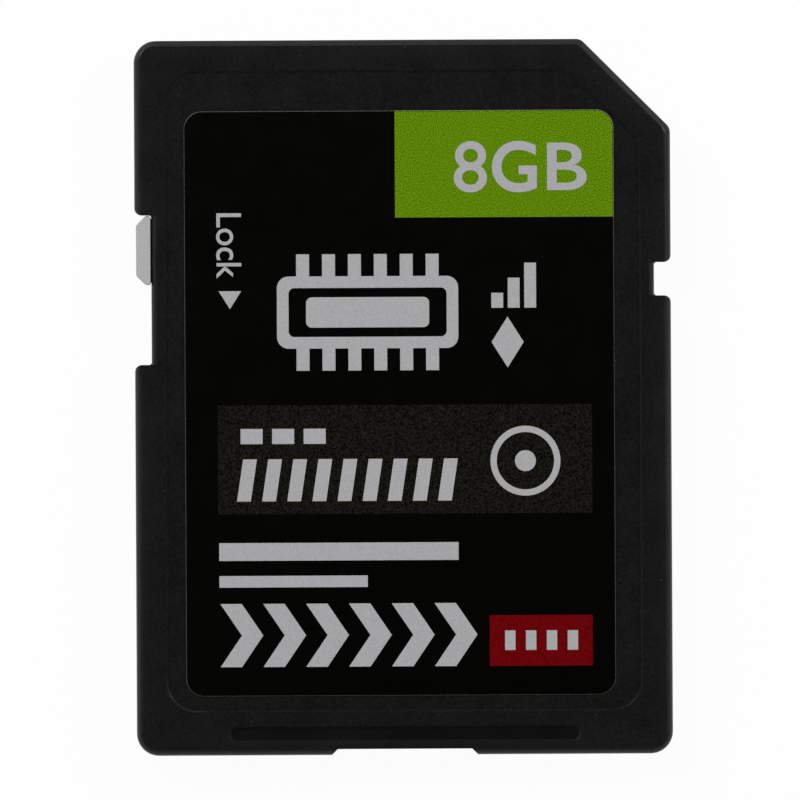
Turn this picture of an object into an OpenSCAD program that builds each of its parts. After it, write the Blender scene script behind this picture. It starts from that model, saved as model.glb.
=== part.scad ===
// Full-size memory card: two moulded half shells around a small circuit board, with nine gold
// contacts in windows of the back, a sliding lock switch in the left side and a printed label on top.
// The card lies flat with its label up. The origin is the middle of its back face, +Y points to the
// contact edge, +X to the side with the slanted corner, and +Z out of the label.

/* [Card] */
// Width of the card across its two long sides
card_w = 24; // [23.6:0.1:27]
// Length of the card from the tail edge to the contact edge
card_l = 32; // [30.5:0.1:36]
// Whole thickness of the card
card_t = 2.1; // [2.05:0.05:2.6]
// Radius of the three round corners, seen from above
corner_r = 1; // [0.7:0.05:1.4]
// Length that the slanted corner takes from each of its two edges
cut_leg = 4; // [3.4:0.1:4.6]
// Radius that softens the two ends of the slanted corner
cut_end_r = 0.5; // [0.35:0.05:0.8]
// Height above the back at which the two shells meet
parting_z = 1.4; // [1.3:0.05:1.45]

/* [Back and rails] */
// Depth of the contacts and of the side rails below the raised back
back_t = 0.7; // [0.6:0.05:0.75]
// Width of the thin rail along each long side
rail_w = 0.75; // [0.6:0.05:0.9]
// Bevel along the raised back's sides and tail
back_bevel = 0.12; // [0.05:0.01:0.2]
// Bevel along the back of the contact edge, which leads the card into its socket
lead_in = 0.35; // [0.2:0.05:0.5]

/* [Top edges] */
// Radius of the upper edge along the two long sides
side_edge_r = 0.36; // [0.28:0.01:0.4]
// Radius of the upper edge along the tail
tail_edge_r = 0.48; // [0.3:0.01:0.5]
// Bevel of the upper edge along the contact edge and the slanted corner
lead_bevel = 0.25; // [0.15:0.01:0.26]

/* [Walls] */
// Wall between the inside and each long side
side_wall = 1.5; // [1.4:0.05:1.7]
// Wall between the inside and the contact edge
lead_wall = 1; // [0.8:0.05:1.2]
// Wall between the inside and the tail edge
tail_wall = 1.4; // [1.1:0.05:1.7]
// Thickness of the top shell's skin under the label
ceiling_t = 0.2; // [0.12:0.01:0.26]

/* [Side notches] */
// Depth of both side notches
notch_d = 0.75; // [0.7:0.01:0.84]
// Distance of the lock notch from the contact edge
lock_notch_y = 7.8; // [7.4:0.1:8.2]
// Length of the lock notch
lock_notch_l = 6.7; // [6.2:0.1:7.4]
// Distance of the plain notch in the right side from the contact edge
side_notch_y = 10; // [8.5:0.1:12]
// Length of the plain notch
side_notch_l = 1.5; // [1.2:0.05:2.4]

/* [Lock switch] */
// Length of the switch's tab along the card's side
tab_l = 3.09; // [2.8:0.01:3.4]
// Distance that the tab's outer face stays inside the card's side
tab_inset = 0.07; // [0.04:0.01:0.12]
// Slanted corner at each end of the tab's outer face
tab_bevel = 0.42; // [0.2:0.02:0.5]
// Play between the tab and the walls of its notch
tab_gap = 0.03; // [0.02:0.01:0.05]
// Play between the switch's inner end and what it runs in
switch_gap = 0.06; // [0.05:0.01:0.08]

/* [Tail] */
// Width of the shallow recess in the tail edge
tail_recess_w = 6.55; // [4:0.05:8]
// Depth of that recess
tail_recess_d = 0.27; // [0.15:0.01:0.35]
// Length of the finger groove across the top face
groove_l = 15.8; // [10:0.2:17.4]
// Width of the finger groove
groove_w = 0.74; // [0.5:0.02:0.8]
// Depth of the finger groove
groove_d = 0.14; // [0.08:0.01:0.2]
// Distance of the groove's middle from the tail edge
groove_y = 0.94; // [0.88:0.02:1.04]

/* [Label] */
// Depth of the label's bed in the top face
bed_d = 0.1; // [0.08:0.01:0.14]
// Distance of the bed from the long sides and from the contact edge
bed_inset = 1.42; // [1.2:0.02:1.5]
// Distance of the bed from the tail edge
bed_tail = 2.02; // [1.8:0.02:2.3]
// Bare strip of the bed between the label and the bed's left wall
label_left_gap = 0.81; // [0.4:0.01:1.5]
// Bare strip of the bed on the label's right
label_right_gap = 1.12; // [0.8:0.01:1.9]
// Bare strip of the bed towards the contact edge
label_lead_gap = 1.75; // [1.4:0.01:2.4]
// Bare strip of the bed towards the tail
label_tail_gap = 0.63; // [0.4:0.01:1.4]
// Thickness of the label film
label_t = 0.06; // [0.04:0.005:0.06]
// Radius of the label's corners
label_r = 0.8; // [0.4:0.05:1.2]

/* [Contacts] */
// Distance between the middles of contacts 1 to 6
pad_pitch = 2.5; // [2.45:0.01:2.52]
// Width of a contact
pad_w = 1.6; // [1.4:0.05:1.7]
// Width of contact 8, the narrow one at the row's end
pad_8_w = 1.1; // [0.9:0.05:1.2]
// Length of contacts 1 to 8
pad_l = 4; // [3.4:0.1:4.4]
// Length of contact 9, which lies beside the slanted corner
pad_9_l = 3; // [2.4:0.1:3.4]
// Thickness of a contact's plating
pad_t = 0.03; // [0.02:0.005:0.04]
// Width of the rib between two contact windows
rib_w = 0.7; // [0.6:0.02:0.72]

/* [Circuit board] */
// Thickness of the board
board_t = 0.4; // [0.3:0.02:0.42]
// Play between the board's edge and the shells
board_gap = 0.1; // [0.08:0.01:0.14]
// Width of the flash memory chip
flash_w = 12; // [10:0.5:13.5]
// Length of the flash memory chip
flash_l = 17; // [14:0.5:18]
// Side of the square controller chip
controller_w = 5.5; // [4.5:0.1:6]
// Diameter of the two pins that place the board
pin_d = 0.9; // [0.6:0.05:1.1]

/* [Hidden] */

// How far every cut runs past the face that it opens
overrun = 1;
// How far the limbs of one moulding run into each other
sink = 0.1;
// Thickness of the thin slabs that the rounded bodies are stretched over
slab = 0.004;
// Steps in a round corner and in a rounded edge
corner_steps = 10;
edge_steps = 6;

// Finishes
shell_colour = [0.09, 0.09, 0.09];
film_colour = [0.02, 0.016, 0.012];
switch_colour = [0.66, 0.66, 0.67];
gold_colour = [0.85, 0.66, 0.3];
board_colour = [0.05, 0.16, 0.1];
chip_colour = [0.12, 0.12, 0.13];
green_colour = [0.35, 0.5, 0.04];
band_colour = [0.09, 0.08, 0.06];
red_colour = [0.4, 0.01, 0.03];
pale_colour = [0.66, 0.66, 0.67];
cap_colour = [0.55, 0.42, 0.28];
metal_colour = [0.75, 0.75, 0.75];

// Edges of the card and of the space inside it
side_x = card_w / 2;
lead_y = card_l / 2;
tail_y = -card_l / 2;
cavity_x = side_x - side_wall;
cavity_tail_y = tail_y + tail_wall;
cavity_r = 0.5;

// Heights, from the back upwards
floor_z = back_t + pad_t;
board_top_z = floor_z + board_t;
bed_z = card_t - bed_d;
ceiling_z = bed_z - ceiling_t;
film_top_z = bed_z + label_t;
ink_t = 0.01;
ink_margin = 0.05;
field_top_z = film_top_z + ink_t;

// Small edges of the shells
seam = 0.04;
rail_bevel = 0.12;
notch_mouth_r = 0.32;
notch_inner_r = 0.12;
notch_edge_r = 0.3;
bed_corner_r = 1.3;
bed_draft = 0.07;
groove_draft = 0.12;

// Tongue on the bottom shell that fits a groove in the top shell, all round the inside
tongue_t = 0.24;
tongue_h = 0.2;
tongue_wall = 0.15;
tongue_gap = 0.03;

// Contacts and their windows
pad_1_x = 6.9;
pad_7_step = 2.43;
pad_8_step = 1.7;
pad_edge_gap = 0.15;
pad_front_y = lead_y - lead_wall - board_gap - pad_edge_gap;
pad_r = 0.2;
window_r = 0.15;
board_cut = side_x + lead_y - cut_leg - sqrt(2) * (lead_wall + board_gap);
pad_9_front_y = board_cut - pad_x(9) - pad_w / 2 - pad_edge_gap;
window_w = pad_pitch - rib_w;

// Lock switch: its tab, its neck through the notch's wall and its flange behind that wall
notch_x = -side_x + notch_d;
notch_lead_y = lead_y - lock_notch_y;
notch_tail_y = notch_lead_y - lock_notch_l;
tab_lead_y = notch_lead_y - tab_gap;
tab_mid_y = tab_lead_y - tab_l / 2;
travel = lock_notch_l - tab_l - 2 * tab_gap;
tab_corner_r = 0.24;
neck_l = 2.8;
neck_t = 0.5;
neck_z = board_top_z;
flange_over = 0.3;
flange_l = neck_l + 2 * flange_over;
flange_t = 0.34;
flange_x = -cavity_x + switch_gap;
nub_r = 0.3;
nub_h = 0.1;
bump_h = 0.06;
track_w = nub_h + bump_h + switch_gap / 2;
rail_t = 0.3;
track_x = flange_x + flange_t + track_w;
relief_x = track_x + rail_t + board_gap;
relief_lead_y = tab_mid_y + flange_l / 2 + 2 * board_gap;
relief_tail_y = tab_mid_y - travel - flange_l / 2 - 2 * board_gap;

// Parts on the board
part_gap = 0.04;
parts_room = ceiling_z - board_top_z;
flash_t = parts_room - part_gap;
controller_t = parts_room - 2 * part_gap;
flash_shift = 1.2;
flash_tail_gap = 0.8;
chip_space = 0.9;
chip_r = 0.12;
mark_r = 0.35;
mark_d = 0.03;
mark_inset = 1.05;
flash_tail_y = cavity_tail_y + board_gap + flash_tail_gap;
controller_tail_y = flash_tail_y + flash_l + chip_space;
controller_x = 2.4;
chip_part_l = 1;
chip_part_w = 0.5;
cap_t = parts_room - 4 * part_gap;
resistor_t = 0.32;
end_l = 0.22;
part_row_pitch = 1.1;

// Bent leads along the two short ends of the flash chip
lead_pitch = 0.5;
lead_w = 0.22;
lead_t = 0.12;
lead_foot = 0.5;
lead_reach = 0.3;
lead_count = floor((flash_w - 2 * chip_r - lead_w) / lead_pitch) + 1;

// Pins that place the board
pin_inset = 1.3;
pin_play = 0.05;
pin_top_z = parting_z;

// The label lies in its bed, a bare strip wide from each wall
label_left = -side_x + bed_inset + label_left_gap;
label_tail = tail_y + bed_tail + label_tail_gap;
label_w = side_x - bed_inset - label_right_gap - label_left;
label_l = lead_y - bed_inset - label_lead_gap - label_tail;

// Print: where each field or group of marks lies, as shares of the label's width and length,
// given as left, right, tail side and lead side
green_shares = [0.491, 1, 0.817, 1];
band_shares = [0.076, 0.947, 0.311, 0.497];
red_shares = [0.7065, 0.946, 0.0498, 0.1367];
emblem_shares = [0.215, 0.637, 0.556, 0.755];
steps_shares = [0.714, 0.829, 0.662, 0.739];
diamond_shares = [0.714, 0.789, 0.56, 0.647];
arrow_shares = [0.0795, 0.132, 0.662, 0.6926];
dashes_shares = [0.129, 0.327, 0.431, 0.457];
gauge_shares = [0.12, 0.646, 0.333, 0.405];
ring_shares = [0.71, 0.873, 0.341, 0.46];
stripes_shares = [0.078, 0.635, 0.186, 0.262];
chevrons_shares = [0.08, 0.678, 0.05, 0.158];
dots_shares = [0.742, 0.912, 0.077, 0.1105];

// How each group of marks fills its panel: counts, and sizes as shares of the panel or of one step
emblem_legs = 6;
emblem_body_share = 0.62;
emblem_frame_share = 0.1;
emblem_core_share = 0.42;
emblem_core_inset_share = 0.25;
emblem_leg_share = 0.5;
bar_count = 3;
bar_share = 0.72;
upper_stripe_share = 0.4;
lower_stripe_share = 0.26;
lower_stripe_length_share = 0.62;
chevron_count = 6;
chevron_share = 0.5;
gauge_blocks = 9;
gauge_block_share = 0.55;
gauge_lean_share = 0.25;
dash_count = 3;
dash_share = 0.7;
dot_count = 4;
dot_share = 0.5;
ring_width_share = 0.18;
ring_dot_share = 0.3;

// Points of an arc about a centre, from one angle to another
function arc(centre, r, from, to) =
    [for (i = [0 : corner_steps])
        let (a = from + (to - from) * i / corner_steps)
        centre + r * [cos(a), sin(a)]];

// A convex outline, given anticlockwise, with each corner turned into an arc of its own radius
function rounded(points, radii) =
    let (n = len(points))
    [for (i = [0 : n - 1])
        let (
            back = points[(i + n - 1) % n] - points[i],
            ahead = points[(i + 1) % n] - points[i],
            u = -back / norm(back),
            v = ahead / norm(ahead),
            turn = acos(u * v),
            centre = points[i] - u * radii[i] * tan(turn / 2) + radii[i] * [-u.y, u.x],
            start = atan2(-u.x, u.y)
        )
        each arc(centre, radii[i], start, start + turn)];

// A rectangle with four equal round corners
function round_box(x0, x1, y0, y1, r) =
    rounded([[x0, y0], [x1, y0], [x1, y1], [x0, y1]], [r, r, r, r]);

// The card's outline with its long sides, its tail and its contact edge moved inwards,
// round corners of radius r and the slanted corner's ends of radius cut_r
function card_outline(side, tail, lead, r, cut_r) =
    let (
        x = side_x - side,
        y0 = tail_y + tail,
        y1 = lead_y - lead,
        cut = side_x + lead_y - cut_leg - sqrt(2) * lead
    )
    rounded([[-x, y0], [x, y0], [x, cut - x], [cut - y1, y1], [-x, y1]], [r, r, cut_r, cut_r, r]);

// The room inside the shells, moved inwards by a gap
function cavity_outline(gap, r = cavity_r) =
    card_outline(side_wall + gap, tail_wall + gap, lead_wall + gap, r, r);

// Middle of each contact across the card
function pad_x(n) =
    n == 9 ? pad_1_x + pad_pitch
    : n <= 6 ? pad_1_x - (n - 1) * pad_pitch
    : n == 7 ? pad_x(6) - pad_7_step
    : pad_x(7) - pad_8_step;
function pad_width(n) = n == 8 ? pad_8_w : pad_w;
function pad_front(n) = n == 9 ? pad_9_front_y : pad_front_y;
function pad_length(n) = n == 9 ? pad_9_l : pad_l;

// Places on the label from shares of its width and length
function on_label_x(share) = label_left + share * label_w;
function on_label_y(share) = label_tail + share * label_l;
function panel(shares) =
    [on_label_x(shares[0]), on_label_x(shares[1]), on_label_y(shares[2]), on_label_y(shares[3])];

// A thin slab of the card's outline whose upper face is at height z
module slice(z, side, tail, lead) {
    inset = max(side, tail, lead);
    translate([0, 0, z - slab])
        linear_extrude(slab)
            polygon(card_outline(side, tail, lead, corner_r - min(inset, corner_r / 2), cut_end_r));
}

// Outline of a notch in the right side, with a rounded mouth, for cutting
module notch_shape(y0, y1) {
    mouth_x = side_x - notch_mouth_r;
    inner_x = side_x - notch_d + notch_inner_r;
    polygon(concat(
        [[side_x + overrun, y0 - notch_mouth_r]],
        arc([mouth_x, y0 - notch_mouth_r], notch_mouth_r, 0, 90),
        arc([inner_x, y0 + notch_inner_r], notch_inner_r, 270, 180),
        arc([inner_x, y1 - notch_inner_r], notch_inner_r, 180, 90),
        arc([mouth_x, y1 + notch_mouth_r], notch_mouth_r, 270, 360),
        [[side_x + overrun, y1 + notch_mouth_r]]
    ));
}

// Cuts both side notches through a shell
module notches() {
    translate([0, 0, -overrun]) linear_extrude(card_t + 2 * overrun) {
        mirror([1, 0]) notch_shape(notch_tail_y, notch_lead_y);
        notch_shape(lead_y - side_notch_y - side_notch_l, lead_y - side_notch_y);
    }
}

// Rounds the upper edge of the right side's notch wall, over the length from y0 to y1
module notch_edge(y0, y1) {
    wall_x = side_x - notch_d;
    translate([0, y1, 0]) rotate([90, 0, 0]) linear_extrude(y1 - y0)
        polygon(concat(
            arc([wall_x - notch_edge_r, card_t - notch_edge_r], notch_edge_r, 0, 90),
            [[wall_x - notch_edge_r, card_t + overrun], [wall_x + overrun, card_t + overrun],
             [wall_x + overrun, card_t - notch_edge_r]]
        ));
}

// Cuts the shallow recess with slanted ends into the tail edge
module tail_recess() {
    half = tail_recess_w / 2;
    translate([0, 0, -overrun]) linear_extrude(card_t + 2 * overrun)
        polygon([
            [-half - overrun, tail_y - overrun], [half + overrun, tail_y - overrun],
            [half - tail_recess_d, tail_y + tail_recess_d], [-half + tail_recess_d, tail_y + tail_recess_d]
        ]);
}

// Slot in the notch's wall that the switch's neck runs in, between two heights
module neck_slot(z0, z1) {
    y0 = tab_mid_y - neck_l / 2 - travel - switch_gap;
    translate([notch_x - overrun / 2, y0, z0])
        cube([side_wall - notch_d + overrun, neck_l + travel + 2 * switch_gap, z1 - z0]);
}

// Ring of the tongue that joins the shells, grown by a gap on both sides
module tongue_ring(gap) {
    inner = tongue_wall - gap;
    outer = tongue_wall + tongue_t + gap;
    difference() {
        polygon(cavity_outline(-outer, cavity_r + outer));
        polygon(cavity_outline(-inner, cavity_r + inner));
    }
}

// Cuts the finger groove, with sloping walls and round ends
module finger_groove() {
    y = tail_y + groove_y;
    hull() {
        translate([0, y, card_t - groove_d]) linear_extrude(slab) groove_shape(groove_draft);
        translate([0, y, card_t]) linear_extrude(overrun) groove_shape(0);
    }
}

// The groove's outline about its middle, moved inwards by a gap
module groove_shape(gap) {
    x = groove_l / 2 - gap;
    y = groove_w / 2 - gap;
    polygon(round_box(-x, x, -y, y, y - slab));
}

// Cuts the label's bed, whose wall slopes out a little towards the top
module label_bed() {
    hull() {
        translate([0, 0, bed_z]) linear_extrude(slab)
            polygon(card_outline(bed_inset, bed_tail, bed_inset, bed_corner_r, cut_end_r));
        translate([0, 0, card_t]) linear_extrude(overrun)
            polygon(card_outline(bed_inset - bed_draft, bed_tail - bed_draft, bed_inset - bed_draft,
                bed_corner_r + bed_draft, cut_end_r));
    }
}

// Outer body of the top shell: rounded along the sides and the tail, bevelled at the contact edge
module top_body() {
    hull() {
        slice(parting_z + slab, seam, seam, seam);
        slice(parting_z + seam, 0, 0, 0);
        for (i = [0 : edge_steps]) {
            a = 90 * i / edge_steps;
            z = card_t - side_edge_r * (1 - sin(a));
            slice(z, side_edge_r * (1 - cos(a)), tail_edge_r * (1 - cos(a)), max(0, lead_bevel - card_t + z));
        }
    }
}

module top_shell() {
    color(shell_colour) difference() {
        top_body();
        notches();
        tail_recess();
        mirror([1, 0]) notch_edge(notch_tail_y, notch_lead_y);
        notch_edge(lead_y - side_notch_y - side_notch_l, lead_y - side_notch_y);
        translate([0, 0, parting_z - overrun])
            linear_extrude(ceiling_z - parting_z + overrun) polygon(cavity_outline(0));
        translate([0, 0, parting_z - overrun])
            linear_extrude(tongue_h + tongue_gap + overrun) tongue_ring(tongue_gap);
        label_bed();
        finger_groove();
        neck_slot(parting_z - overrun, neck_z + neck_t + switch_gap);
    }
}

// Outer body of the bottom shell: the raised back and the rails that stand out beside it
module bottom_body() {
    hull() {
        slice(slab, rail_w + back_bevel, back_bevel, lead_in);
        slice(back_bevel, rail_w, 0, lead_in - back_bevel);
        slice(lead_in, rail_w, 0, 0);
        slice(back_t + rail_bevel, rail_w, 0, 0);
    }
    hull() {
        slice(back_t + slab, rail_bevel, 0, 0);
        slice(back_t + rail_bevel, 0, 0, 0);
        slice(parting_z, 0, 0, 0);
    }
}

// Cuts the window of one contact through the back, out to the contact edge
module window(x0, x1, back_y) {
    translate([0, 0, -overrun]) linear_extrude(floor_z + overrun)
        polygon(round_box(x0, x1, back_y, lead_y + overrun, window_r));
}

// All contact windows: contacts 7 and 8 share one
module windows() {
    back_y = pad_front_y - pad_l - pad_edge_gap;
    for (n = [1 : 6]) window(pad_x(n) - window_w / 2, pad_x(n) + window_w / 2, back_y);
    window(pad_x(8) - pad_8_w / 2 - (window_w - pad_w) / 2, pad_x(7) + window_w / 2, back_y);
    window(pad_x(9) - window_w / 2, pad_x(9) + window_w / 2, pad_9_front_y - pad_9_l - pad_edge_gap);
}

// Guide rail beside the switch's flange, with a low bump near each end of the flange's run
module switch_guide() {
    translate([track_x, relief_tail_y + board_gap, back_t])
        cube([rail_t, relief_lead_y - relief_tail_y - 2 * board_gap, parting_z - back_t]);
    for (y = [tab_mid_y - travel / 4, tab_mid_y - travel * 3 / 4])
        translate([track_x, y, back_t]) linear_extrude(parting_z - back_t)
            polygon([[0, -nub_r], [0, nub_r], [-bump_h, nub_r / 2], [-bump_h, -nub_r / 2]]);
}

// Middles of the two pins that place the board, near the tail's corners
module at_pins() {
    for (side = [-1, 1])
        translate([side * (cavity_x - pin_inset), cavity_tail_y + pin_inset, 0]) children();
}

module bottom_shell() {
    color(shell_colour) {
        difference() {
            union() {
                bottom_body();
                translate([0, 0, parting_z - sink]) linear_extrude(tongue_h + sink) tongue_ring(0);
            }
            translate([0, 0, floor_z]) linear_extrude(card_t) polygon(cavity_outline(0));
            windows();
            notches();
            tail_recess();
            neck_slot(neck_z - switch_gap, parting_z + overrun);
        }
        switch_guide();
        at_pins() translate([0, 0, back_t]) cylinder(d = pin_d, h = pin_top_z - back_t, $fn = 32);
    }
}

// The board follows the inside of the shells and steps back beside the switch
module circuit_board() {
    color(board_colour) difference() {
        translate([0, 0, floor_z]) linear_extrude(board_t) difference() {
            polygon(cavity_outline(board_gap));
            translate([-cavity_x - overrun, relief_tail_y])
                square([relief_x + cavity_x + overrun, relief_lead_y - relief_tail_y]);
        }
        at_pins() cylinder(d = pin_d + 2 * pin_play, h = card_t, $fn = 32);
    }
}

// Gold contact under the board
module contact_pad(n) {
    x = pad_x(n);
    half = pad_width(n) / 2;
    color(gold_colour) translate([0, 0, back_t]) linear_extrude(pad_t)
        polygon(round_box(x - half, x + half, pad_front(n) - pad_length(n), pad_front(n), pad_r));
}

// Moulded chip package with a sunk mark at its first corner
module chip(x, y0, w, l, t) {
    color(chip_colour) translate([x, y0, board_top_z]) difference() {
        linear_extrude(t) polygon(round_box(-w / 2, w / 2, 0, l, chip_r));
        translate([-w / 2 + mark_inset, l - mark_inset, t - mark_d])
            cylinder(r = mark_r, h = overrun, $fn = 32);
    }
}

// Bent leads along one end of a chip, out of its middle height and down to the board
module chip_leads(t) {
    mid = t / 2;
    for (i = [0 : lead_count - 1])
        translate([(i - (lead_count - 1) / 2) * lead_pitch - lead_w / 2, 0, board_top_z])
            rotate([90, 0, 90]) linear_extrude(lead_w)
                polygon([
                    [-sink, mid], [-sink, mid + lead_t], [lead_reach, mid + lead_t],
                    [lead_reach + lead_t, lead_t], [lead_foot + lead_t, lead_t], [lead_foot + lead_t, 0],
                    [lead_reach, 0], [lead_reach - lead_t / 2, mid]
                ]);
}

module flash_chip() {
    chip(flash_shift, flash_tail_y, flash_w, flash_l, flash_t);
    color(metal_colour) {
        translate([flash_shift, flash_tail_y + flash_l, 0]) chip_leads(flash_t);
        translate([flash_shift, flash_tail_y, 0]) mirror([0, 1, 0]) chip_leads(flash_t);
    }
}

module controller_chip() chip(controller_x, controller_tail_y, controller_w, controller_w, controller_t);

// Small part with a plated cap at each end, lying along X
module chip_part(x, y, t, body_colour) {
    translate([x, y - chip_part_w / 2, board_top_z]) {
        color(body_colour) translate([end_l, 0, 0]) cube([chip_part_l - 2 * end_l, chip_part_w, t]);
        color(metal_colour)
            for (at = [0, chip_part_l - end_l])
                translate([at, 0, 0]) cube([end_l, chip_part_w, t]);
    }
}

// The four capacitors stand in a column on the controller's left, the resistors in the next one
module capacitor(n) {
    chip_part(controller_x - controller_w / 2 - chip_space - chip_part_l,
        controller_tail_y + (n - 0.5) * part_row_pitch, cap_t, cap_colour);
}

module resistor(n) {
    chip_part(controller_x - controller_w / 2 - 2 * chip_space - 2 * chip_part_l,
        controller_tail_y + (n - 0.5) * part_row_pitch, resistor_t, chip_colour);
}

// The sliding lock switch: tab in the notch, neck through its wall, flange and nub behind it
module lock_switch() {
    outer_x = -side_x + tab_inset;
    inner_x = notch_x - tab_gap;
    tail = tab_lead_y - tab_l;
    color(switch_colour) {
        translate([0, 0, back_t + switch_gap]) linear_extrude(card_t - back_t - 2 * switch_gap)
            polygon(rounded(
                [[inner_x, tail], [inner_x, tab_lead_y], [outer_x + tab_bevel, tab_lead_y],
                 [outer_x, tab_lead_y - tab_bevel], [outer_x, tail + tab_bevel], [outer_x + tab_bevel, tail]],
                [notch_inner_r, notch_inner_r, tab_corner_r, tab_corner_r, tab_corner_r, tab_corner_r]));
        translate([inner_x - sink, tab_mid_y - neck_l / 2, neck_z])
            cube([flange_x - inner_x + 2 * sink, neck_l, neck_t]);
        translate([flange_x, tab_mid_y - flange_l / 2, floor_z + switch_gap])
            cube([flange_t, flange_l, ceiling_z - floor_z - 2 * switch_gap]);
        translate([flange_x + flange_t, tab_mid_y, floor_z + switch_gap]) linear_extrude(neck_t)
            polygon([[-sink, -nub_r], [0, -nub_r], [nub_h, -nub_r / 3], [nub_h, nub_r / 3],
                     [0, nub_r], [-sink, nub_r]]);
    }
}

// The label's outline, moved inwards by a gap
module label_shape(gap) {
    polygon(round_box(label_left + gap, label_left + label_w - gap,
        label_tail + gap, label_tail + label_l - gap, label_r - gap));
}

module label_film() {
    color(film_colour) translate([0, 0, bed_z]) linear_extrude(label_t) label_shape(0);
}

// A plain rectangle over one panel of the label
module panel_box(shares) {
    p = panel(shares);
    translate([p[0], p[2]]) square([p[1] - p[0], p[3] - p[2]]);
}

// A layer of ink whose underside is at height z
module ink(z) {
    translate([0, 0, z]) linear_extrude(ink_t) children();
}

module green_field() {
    color(green_colour) ink(film_top_z) intersection() {
        label_shape(ink_margin);
        panel_box(green_shares);
    }
}

module dark_band() {
    color(band_colour) ink(film_top_z) panel_box(band_shares);
}

module red_field() {
    color(red_colour) ink(film_top_z) panel_box(red_shares);
}

// Plain chip pictogram: a rounded frame with legs along two sides
module emblem() {
    p = panel(emblem_shares);
    w = p[1] - p[0];
    h = p[3] - p[2];
    mid = [(p[0] + p[1]) / 2, (p[2] + p[3]) / 2];
    body = h * emblem_body_share;
    frame = h * emblem_frame_share;
    core = body * emblem_core_share;
    core_x = w / 2 - h * emblem_core_inset_share;
    pitch = w / (emblem_legs + 1);
    leg = pitch * emblem_leg_share;
    translate(mid) {
        difference() {
            polygon(round_box(-w / 2, w / 2, -body / 2, body / 2, frame));
            polygon(round_box(frame - w / 2, w / 2 - frame, frame - body / 2, body / 2 - frame, frame / 2));
        }
        polygon(round_box(-core_x, core_x, -core / 2, core / 2, frame / 2));
        for (i = [1 : emblem_legs], up = [-1, 1])
            translate([-w / 2 + i * pitch - leg / 2, up > 0 ? body / 2 - frame / 2 : -h / 2])
                square([leg, (h - body) / 2 + frame / 2]);
    }
}

// Bars that rise to the right
module rising_bars() {
    p = panel(steps_shares);
    pitch = (p[1] - p[0]) / bar_count;
    for (i = [1 : bar_count])
        translate([p[0] + (i - 1) * pitch, p[2]]) square([pitch * bar_share, (p[3] - p[2]) * i / bar_count]);
}

module diamond() {
    p = panel(diamond_shares);
    mid = [(p[0] + p[1]) / 2, (p[2] + p[3]) / 2];
    polygon([[p[0], mid.y], [mid.x, p[2]], [p[1], mid.y], [mid.x, p[3]]]);
}

// Arrow head beside the switch, which points to its locked end
module lock_arrow() {
    p = panel(arrow_shares);
    polygon([[p[0], p[3]], [(p[0] + p[1]) / 2, p[2]], [p[1], p[3]]]);
}

// Two stripes, the lower one shorter
module stripes() {
    p = panel(stripes_shares);
    w = p[1] - p[0];
    h = p[3] - p[2];
    translate([p[0], p[3] - h * upper_stripe_share]) square([w, h * upper_stripe_share]);
    translate([p[0], p[2]]) square([w * lower_stripe_length_share, h * lower_stripe_share]);
}

// A row of arrow-shaped blocks that point to the red field
module chevrons() {
    p = panel(chevrons_shares);
    pitch = (p[1] - p[0]) / chevron_count;
    h = p[3] - p[2];
    bar = pitch * chevron_share;
    for (i = [0 : chevron_count - 1])
        translate([p[0] + i * pitch, p[2]])
            polygon([[0, 0], [bar, 0], [pitch, h / 2], [bar, h], [0, h], [pitch - bar, h / 2]]);
}

// Row of slanted blocks on the dark band
module gauge() {
    p = panel(gauge_shares);
    pitch = (p[1] - p[0]) / gauge_blocks;
    h = p[3] - p[2];
    block = pitch * gauge_block_share;
    lean = pitch * gauge_lean_share;
    for (i = [0 : gauge_blocks - 1])
        translate([p[0] + i * pitch, p[2]]) polygon([[0, 0], [block, 0], [block + lean, h], [lean, h]]);
}

// Row of equal blocks over a panel
module block_row(shares, count, fill_share) {
    p = panel(shares);
    pitch = (p[1] - p[0]) / (count - 1 + fill_share);
    for (i = [0 : count - 1])
        translate([p[0] + i * pitch, p[2]]) square([pitch * fill_share, p[3] - p[2]]);
}

// Plain ring with a dot in its middle
module ring_mark() {
    p = panel(ring_shares);
    r = (p[1] - p[0]) / 2;
    translate([(p[0] + p[1]) / 2, (p[2] + p[3]) / 2]) {
        difference() {
            circle(r = r, $fn = 64);
            circle(r = r * (1 - ring_width_share), $fn = 64);
        }
        circle(r = r * ring_dot_share, $fn = 32);
    }
}

// All pale ink: what lies on the film, and what lies on the coloured fields
module pale_marks() {
    color(pale_colour) {
        ink(film_top_z) {
            emblem();
            rising_bars();
            diamond();
            lock_arrow();
            stripes();
            chevrons();
        }
        ink(field_top_z) {
            gauge();
            block_row(dashes_shares, dash_count, dash_share);
            ring_mark();
            block_row(dots_shares, dot_count, dot_share);
        }
    }
}

bottom_shell();
circuit_board();
for (n = [1 : 9]) contact_pad(n);
flash_chip();
controller_chip();
for (n = [1 : 4]) capacitor(n);
for (n = [1 : 4]) resistor(n);
lock_switch();
top_shell();
label_film();
green_field();
dark_band();
red_field();
pale_marks();
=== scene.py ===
"""Looks of a full-size memory card: shells, printed label, lock switch, contacts and stage."""

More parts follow.
